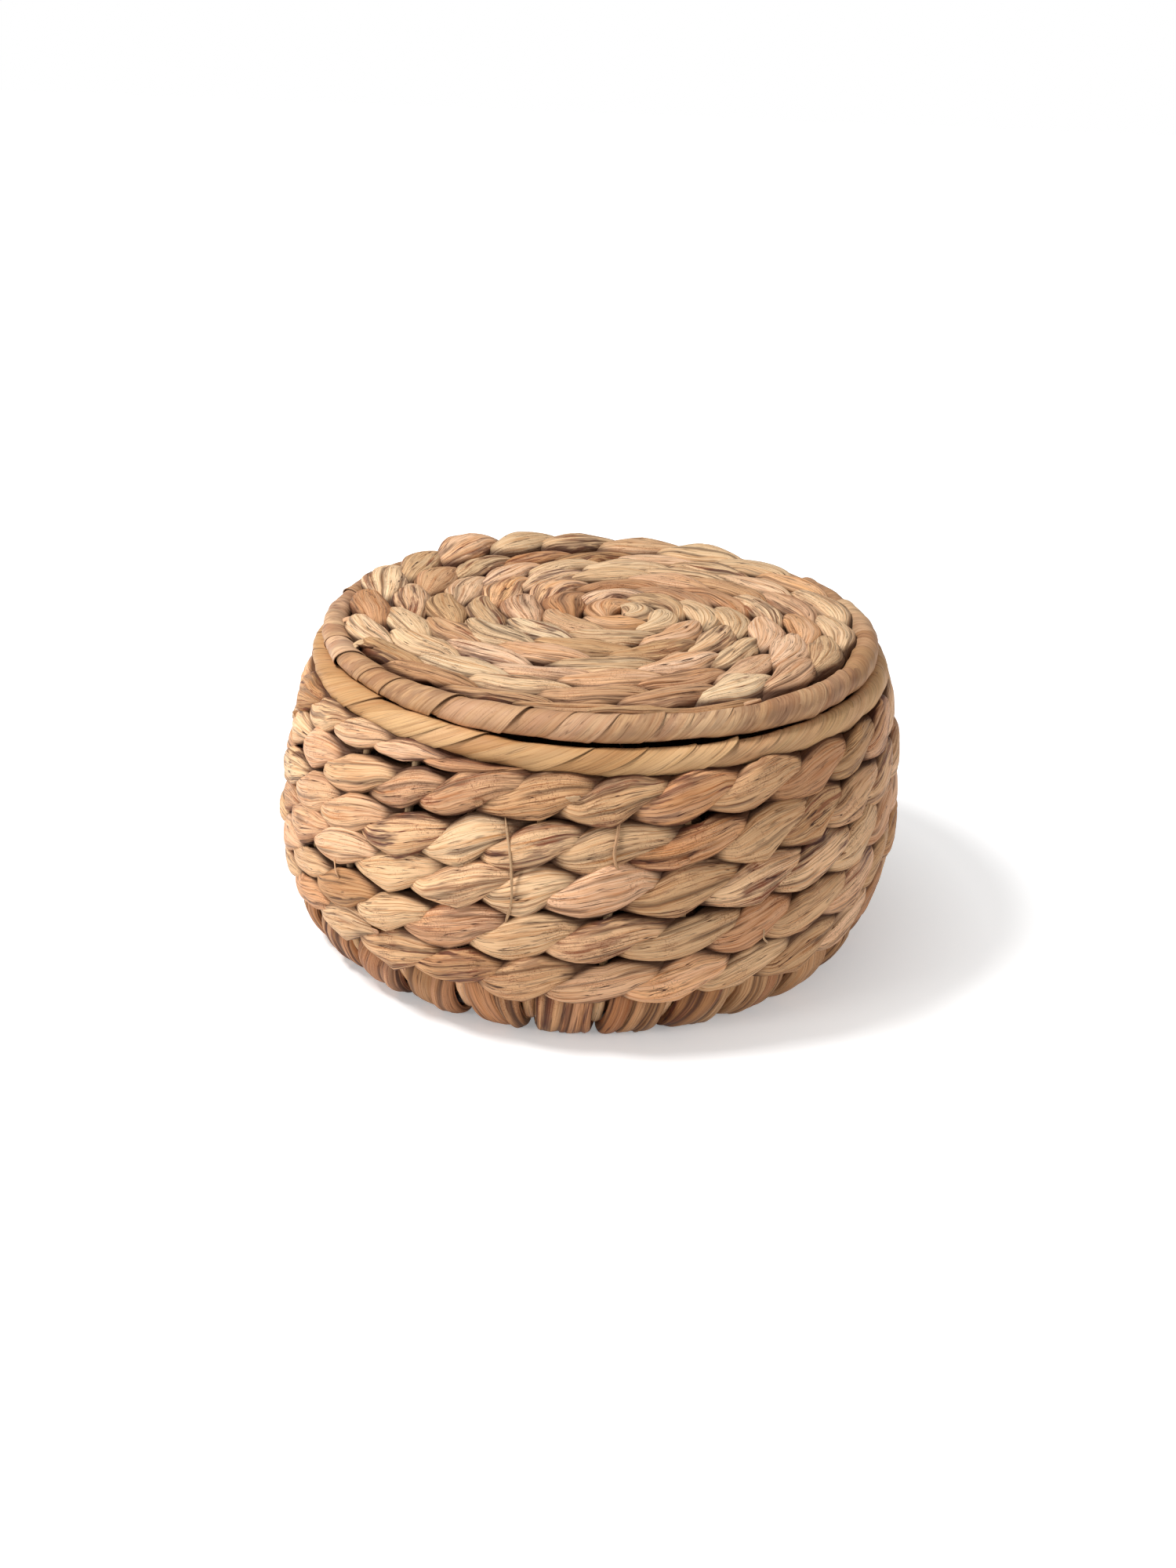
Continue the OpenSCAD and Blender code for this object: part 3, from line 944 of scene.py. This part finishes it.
class Bundle:
    """One foot bundle: where it starts, its angle between two ribs and its turns of leaf."""

    def __init__(self, number):
        self.number = number
        self.dice = random_of("foot", number)
        loops = self.dice.choice([2, 2, 3])
        shares = self.dice.uniform(*loop_shares, loops)
        self.shares = shares / shares.sum()
        before, after = self.dice.uniform(*gap_shares, 2) * foot_gap / base_wire.r
        self.start = float(rib_azimuth(number)) + before
        self.span = 2 * np.pi / rib_count - before - after
        self.closing = loop_closing * (before + after) / self.span
        self.lay_over = self.dice.choice([-1, 1, 1]) * self.dice.uniform(*slant_shares)


def foot_loop(skin, bundle, j, stations=42, points=36):
    """One turn of leaf. It starts and ends on the inside, where its ends don't show."""
    share_round = np.arange(stations) / stations
    round_wire = np.pi + 2 * np.pi * share_round
    c, s = np.cos(round_wire)[:, None], np.sin(round_wire)[:, None]
    outside = 0.5 + 0.5 * c
    share = bundle.shares[j]
    centre = bundle.span * (bundle.shares[:j].sum() + share / 2)
    half_side = bundle.span * share * base_wire.r / 2 * loop_lap
    half_front = bundle.dice.uniform(*loop_half_t)
    reach = foot_roll_t / 2 - half_front + bundle.dice.uniform(*loop_reach)
    unit_front, unit_side = rounded(section_turn(points), 0.88)
    front = half_front * unit_front * np.ones((stations, 1))
    narrow = 1 + loop_narrowing * np.cos(round_wire + bundle.dice.uniform(0, 6))[:, None]
    side = half_side * unit_side * narrow
    along = round_wire * foot_roll_t / 2
    front, side, fold = relieved(
        front, side, along, "foot", bundle.number, j, depth=1.25, creases=9, edges=4
    )
    joined = smooth((share_round - 0.8) / 0.2)[:, None]
    front = mix(front, front[:1], joined)
    side = mix(side, side[:1], joined) + bundle.lay_over * half_side * s
    # A bundle is rounded off at its sides on the outside, and closes up to the next one inside.
    across = (centre + side / base_wire.r) / (bundle.span / 2) - 1
    across = across / (1 + np.abs(across) ** 6) ** (1 / 6)
    radius = reach + front - bundle_rounding * across**4 * outside
    raised_r, raised_z = rib_rz(foot_shown * (1 + s) / 2, 0)
    azimuth = bundle.start + (1 + across * (1 + (1 - outside) * bundle.closing)) * bundle.span / 2
    rings = settled(polar(raised_r + radius * c, azimuth, raised_z + radius * s))
    rings[..., 2] = np.maximum(rings[..., 2], floor_gap)
    tone = leaf_tone(np.full(stations, 7.0 * bundle.number + j), 1, "foot tone", hold=0.1)
    skin.tube(rings, along, tone, fold, closed=True, seed=f"foot{bundle.number}{j}")


def foot_loops():
    skin = Skin()
    for number in range(rib_count):
        bundle = Bundle(number)
        for j in range(len(bundle.shares)):
            foot_loop(skin, bundle, j)
    return skin.piece("foot_loops")


finish_piece(foot_loops(), "basket", foot_leaf, ["foot_bundles"])

# ---- Small pieces: ties, torn leaf ends and loose fibres ----


def through(values, at):
    """Points along the straight lines from one of the values to the next."""
    values = np.array(values, float)
    return np.stack([np.interp(at, range(len(values)), values[:, k]) for k in range(3)], -1)


def ribbon(skin, knots, across, width, thickness, *words, points=16, light=0.6, stain=0.3, fold=0.0):
    """A leaf ribbon through a few knots, its width lying along the across directions."""
    stations = 28
    at = np.linspace(0, len(knots) - 1, stations)
    path, lie = through(knots, at), through(across, at)
    for _ in range(stations // 3):
        path[1:-1] = (path[:-2] + 2 * path[1:-1] + path[2:]) / 4
    forward = unit(np.gradient(path, axis=0))
    lie = unit(lie - forward * np.sum(lie * forward, -1, keepdims=True))
    normal = np.cross(forward, lie)
    along = np.concatenate([[0], np.cumsum(np.linalg.norm(np.diff(path, axis=0), axis=1))])
    turn = section_turn(points)
    unit_front, unit_side = rounded(turn, 0.8)
    taper = 0.45 + 0.55 * smooth(np.minimum(at, at[-1] - at) / 0.5)
    half_side = width / 2 * taper * (1 + 0.2 * wander(along, width + 1, "ragged", *words))
    ripple = 0.3 * thickness * wander_round(along, 3, turn / (2 * np.pi), 7, "ripple", *words)
    front = thickness / 2 * unit_front[None, :] + ripple
    rings = path[:, None] + lie[:, None] * (half_side[:, None] * unit_side)[..., None]
    rings = rings + normal[:, None] * front[..., None]
    hue = 0.45 + 0.3 * wander(len(words), 1, *words)
    tone = np.tile([hue, light, stain], (stations, 1))
    skin.tube(rings, along, tone, np.full((stations, points), fold), seed=str(words))


def spot(azimuth, r, z):
    """A point from its azimuth in degrees, radius and height."""
    return polar(np.float64(r), np.radians(azimuth), np.float64(z))


def wall_spot(azimuth, z, n):
    """A point on the wall from its azimuth in degrees, its height and its depth n outward."""
    r, _ = rib_rz(low_arc_len + z - belly_z, n)
    return spot(azimuth, float(r), z)


def tangent(azimuth):
    return np.array([-math.sin(math.radians(azimuth)), math.cos(math.radians(azimuth)), 0])


tie_azimuths = (189, 205, 48, 120)
dark_leaf_azimuth = 208
dark_leaf_reach = 3.6

# Azimuth, height, length, width, lightness and stain of each torn leaf end.
torn_ends = (
    (196, 100, 9, 5.0, 0.9, 0.0),
    (193, 92, 8, 6.0, 0.8, 0.0),
    (250, 98, 6, 3.4, 0.5, 0.8),
    (266, 104, 7, 4.0, 0.8, 0.2),
    (285, 80, 6, 3.0, 0.6, 0.5),
    (232, 36, 7, 3.2, 0.7, 0.3),
    (318, 66, 7, 3.6, 0.6, 0.6),
    (20, 70, 8, 3.6, 0.6, 0.4),
    (75, 40, 7, 3.4, 0.7, 0.4),
    (130, 84, 8, 3.6, 0.6, 0.5),
)

# Azimuth and height of both ends of each loose fibre, its bow in degrees and its thickness.
loose_fibres = (
    (255.2, 94, 257.0, 54, 2.0, 0.62),
    (274.6, 97, 275.4, 76, -1.2, 0.8),
    (221, 60, 224, 50, 1.0, 0.5),
    (301, 52, 303, 40, -1.0, 0.5),
    (150, 70, 152, 52, 1.4, 0.6),
    (48, 60, 45, 44, 1.2, 0.6),
)


def lid_tie(skin, k, a):
    """A pale strip that ties the coil's outer row to the wrapped edge."""
    top = lid_wire.z + lid_roll_t / 2
    knots = [
        spot(a - 1, lid_coil.limit - 5.5, top - 3.4),
        spot(a - 0.4, lid_coil.limit - 2.6, top - 0.4),
        spot(a, lid_coil.limit + 1.0, top - 0.3),
        spot(a + 0.6, lid_coil.limit + 3.8, top - 1.2),
        spot(a + 1, lid_coil.limit + 5.2, top - 4),
    ]
    knots = settled_lid(np.array(knots))
    ribbon(skin, knots, [tangent(a)] * len(knots), 4.2, 0.9, "lashing", k, light=0.8, stain=0.0)


def dark_leaf_end(skin, a):
    """A dark leaf end that lies along the gap between the coil and the wrapped edge. Besides its
    stain, painted shade darkens it all over.
    """
    top = lid_wire.z + lid_roll_t / 2
    knots = []
    for t in (-1, -0.3, 0.4, 1):
        out, up = -1 - 1.5 * t, -1.2 + 1.2 * t
        knots.append(spot(a + dark_leaf_reach * t, lid_coil.limit + out, top + up))
    knots = settled_lid(np.array(knots))
    leaning_out = [spot(a, 1, 0.6)] * len(knots)
    ribbon(skin, knots, leaning_out, 6.5, 0.8, "dark end", light=0.0, stain=1.0, fold=0.85)


def lid_lashings():
    skin = Skin()
    for k, a in enumerate(tie_azimuths):
        lid_tie(skin, k, a)
    dark_leaf_end(skin, dark_leaf_azimuth)
    return skin.piece("lid_lashings")


def torn_end(skin, k, a, z, length, width, light, stain):
    """A torn leaf end that lifts off the wall."""
    turn = math.degrees(length / belly_r)
    knots = [
        wall_spot(a - turn / 2, z - 1.5, wall_t / 2 - 3.6),
        wall_spot(a, z, wall_t / 2 - 1.0),
        wall_spot(a + turn / 2, z + 2.0, wall_t / 2 + 0.4),
    ]
    knots = settled(np.array(knots))
    lie = unit(np.array([0, 0, 0.8]) + 0.5 * spot(a, 1, 0))
    ribbon(skin, knots, [lie] * len(knots), width, 0.7, "torn", k, light=light, stain=stain)


def loose_fibre(skin, k, a0, z0, a1, z1, bow, thick):
    """A fibre that hangs down the wall in a bow."""
    knots = []
    for t in np.linspace(0, 1, 9):
        bowed = math.sin(math.pi * t)
        a = mix(a0, a1, t) + bow * bowed + 0.3 * float(wander(t * 4, 1, "loose", k))
        knots.append(wall_spot(a, mix(z0, z1, t), wall_t / 2 - 2.8 + 4.0 * bowed**0.5))
    knots = settled(np.array(knots))
    lie = [tangent(a0)] * len(knots)
    ribbon(skin, knots, lie, thick * 1.5, thick, "loose", k, points=8, light=0.7, stain=0)


def wall_scraps():
    skin = Skin()
    for k, torn in enumerate(torn_ends):
        torn_end(skin, k, *torn)
    for k, loose in enumerate(loose_fibres):
        loose_fibre(skin, k, *loose)
    return skin.piece("wall_scraps")


finish_piece(lid_lashings(), "lid", rib_leaf)
finish_piece(wall_scraps(), "basket", wall_leaf)

# ---- Wires, padding and rib wraps, set with the leaf round them ----

filling_inset = 1.8
rim_filling_r = rim_roll_t / 2 - filling_inset
lid_filling_r = lid_roll_t / 2 - filling_inset
rib_foot_padding = 1.1
rib_foot_fade = 8


def ring_roll(name, wire, radius, settle, stations=180, points=20):
    """A plain ring round the middle of a wire ring: the wire itself, or the filling round it."""
    azimuth = 2 * np.pi * np.arange(stations) / stations
    turn = section_turn(points)
    r = wire.r + radius * np.cos(turn)[None, :]
    z = wire.z + radius * np.sin(turn)[None, :]
    rings = settle(polar(r, azimuth[:, None], z))
    along = azimuth * wire.r
    skin = Skin()
    tone = leaf_tone(along, 60, name)
    skin.tube(rings, along, tone, np.zeros((stations, points)), closed=True, seed=name)
    return skin.piece(name)


def rib_rods(name, radius, foot_padding=0, stations=60, points=12):
    """All the ribs, as rods that may be thicker inside the foot."""
    skin = Skin()
    s = np.linspace(0, rib_len, stations)
    turn = section_turn(points)
    inside_foot = 1 - smooth((s - foot_shown) / rib_foot_fade)
    thick = (radius + foot_padding * inside_foot)[:, None]
    for i in range(rib_count):
        r, z = rib_rz(s[:, None], thick * np.cos(turn)[None, :])
        azimuth = rib_azimuth(i) + thick * np.sin(turn)[None, :] / r
        rings = settled(polar(r, azimuth, z))
        tone = leaf_tone(s + 500 * i, 30, name)
        skin.tube(rings, s, tone, np.zeros((stations, points)), seed=f"{name}{i}")
    return skin.piece(name)


for name, node, slot, material, wire, radius in (
    ("rim_wire", "rim_ring_wire", "steel_wire", wire_steel, rim_wire, rim_wire.t / 2),
    ("foot_wire", "base_ring_wire", "steel_wire", wire_steel, base_wire, base_wire.t / 2),
    ("lid_wire", "lid_ring_wire", "steel_wire", wire_steel, lid_wire, lid_wire.t / 2),
    ("rim_stuffing", "rim_padding", "rim_leaf", rim_strip, rim_wire, rim_filling_r),
    ("lid_stuffing", "lid_padding", "lid_edge_leaf", lid_strip, lid_wire, lid_filling_r),
):
    body, settle = ("lid", settled_lid) if wire is lid_wire else ("basket", settled)
    finish_piece(ring_roll(name, wire, radius, settle), body, material, [node])
rib_piece = rib_rods("rib_rods", rib_wire_r)
finish_piece(rib_piece, "basket", wire_steel, ["rib_wires"])
rib_piece = rib_rods("rib_strips", rib_thickness / 2, foot_padding=rib_foot_padding)
finish_piece(rib_piece, "basket", rib_leaf, ["rib_wraps"])

# ---- Camera, in metres. It looks down at the front, as the photograph's does. ----

camera_elevation = math.radians(24.47)
camera_distance = 0.7336
camera_target = Vector((0, 0, 0.0547))
camera_roll = math.radians(2.22)
sensor_w = 36.0
lens_length = 52.3776

camera = bpy.data.objects.new("camera", bpy.data.cameras.new("camera"))
bpy.context.scene.collection.objects.link(camera)
camera.data.sensor_fit = "HORIZONTAL"
camera.data.sensor_width = sensor_w
camera.data.lens = lens_length
camera.data.clip_start = 0.01
away = Vector((0, -math.cos(camera_elevation), math.sin(camera_elevation)))
camera.location = camera_target + camera_distance * away
look = Euler((math.pi / 2 - camera_elevation, 0, 0)).to_matrix()
camera.rotation_euler = (look @ Matrix.Rotation(camera_roll, 3, "Z")).to_euler()
bpy.context.scene.camera = camera

# ---- Floor and light, in metres and watts ----

floor_reach = 6.0
floor_grey = (0.86, 0.86, 0.86, 1)
white = (1, 1, 1, 1)
surround = 0.26
# The floor's glow to the camera is weakest at the foot, a painted contact shadow, and grows beside and
# far from the basket.
glow_in_painted_shadow = 0.26
beside_glow = 0.52
beside_reach = 0.07
far_glow = 0.7
far_start = 0.3
far_end = 1.0

# Place, width and power of each lamp.
lamps = {
    "key": ((-0.7, -0.2, 1.25), 0.36, 17),
    "side": ((-1.25, -0.85, 0.45), 0.4, 7.4),
    "fill": ((1.15, -0.8, 0.7), 0.9, 5.5),
}


def floor_material():
    """Pale floor that keeps the shadow. To the camera it glows white away from the basket, less at its
    foot: a painted contact shadow.
    """
    s = Shader(bpy.data.materials.new("floor_white"))
    seen = s.node("LightPath").node
    rays = s.math("ADD", seen.outputs["Is Camera Ray"], seen.outputs["Is Glossy Ray"])
    rays = s.math("MINIMUM", s.math("ADD", rays, seen.outputs["Is Transmission Ray"]), 1.0)
    off_axis = s.node("VectorMath", s.node("TexCoord", out=3), operation="LENGTH", out=1)
    foot_edge = base_wire.r * MM
    # Less glow by the foot: a painted contact shadow.
    near = s.span(off_axis, foot_edge, foot_edge + beside_reach, glow_in_painted_shadow, beside_glow)
    far = s.span(off_axis, far_start, far_end, 0.0, far_glow)
    glow = s.node("Emission", white, s.product(rays, s.math("ADD", near, far)))
    s.node("OutputMaterial", s.node("AddShader", s.node("BsdfDiffuse", floor_grey), glow))
    return s.owner


def floor():
    mesh = bpy.data.meshes.new("floor")
    corners = [(-1, -1), (1, -1), (1, 1), (-1, 1)]
    mesh.from_pydata([(x * floor_reach, y * floor_reach, 0) for x, y in corners], [], [(0, 1, 2, 3)])
    mesh.materials.append(floor_material())
    made = bpy.data.objects.new("floor", mesh)
    bpy.context.scene.collection.objects.link(made)


def lamp(name, place, size, watts):
    """A soft round lamp that points at the basket."""
    light = bpy.data.lights.new(name, "AREA")
    light.shape = "DISK"
    light.size = size
    light.energy = watts
    made = bpy.data.objects.new(name, light)
    bpy.context.scene.collection.objects.link(made)
    made.location = place
    made.rotation_euler = (camera_target - Vector(place)).to_track_quat("-Z", "Y").to_euler()


def world():
    """Even light all round, which the camera sees as white."""
    s = Shader(bpy.data.worlds.new("studio"))
    seen = s.node("LightPath", out="Is Camera Ray")
    strength = s.node("Math", seen, 1 - surround, surround, operation="MULTIPLY_ADD", use_clamp=True)
    s.node("OutputWorld", s.node("Background", white, strength))
    bpy.context.scene.world = s.owner


floor()
world()
for name, (place, size, watts) in lamps.items():
    lamp(name, place, size, watts)

bpy.context.scene.view_settings.view_transform = "Standard"
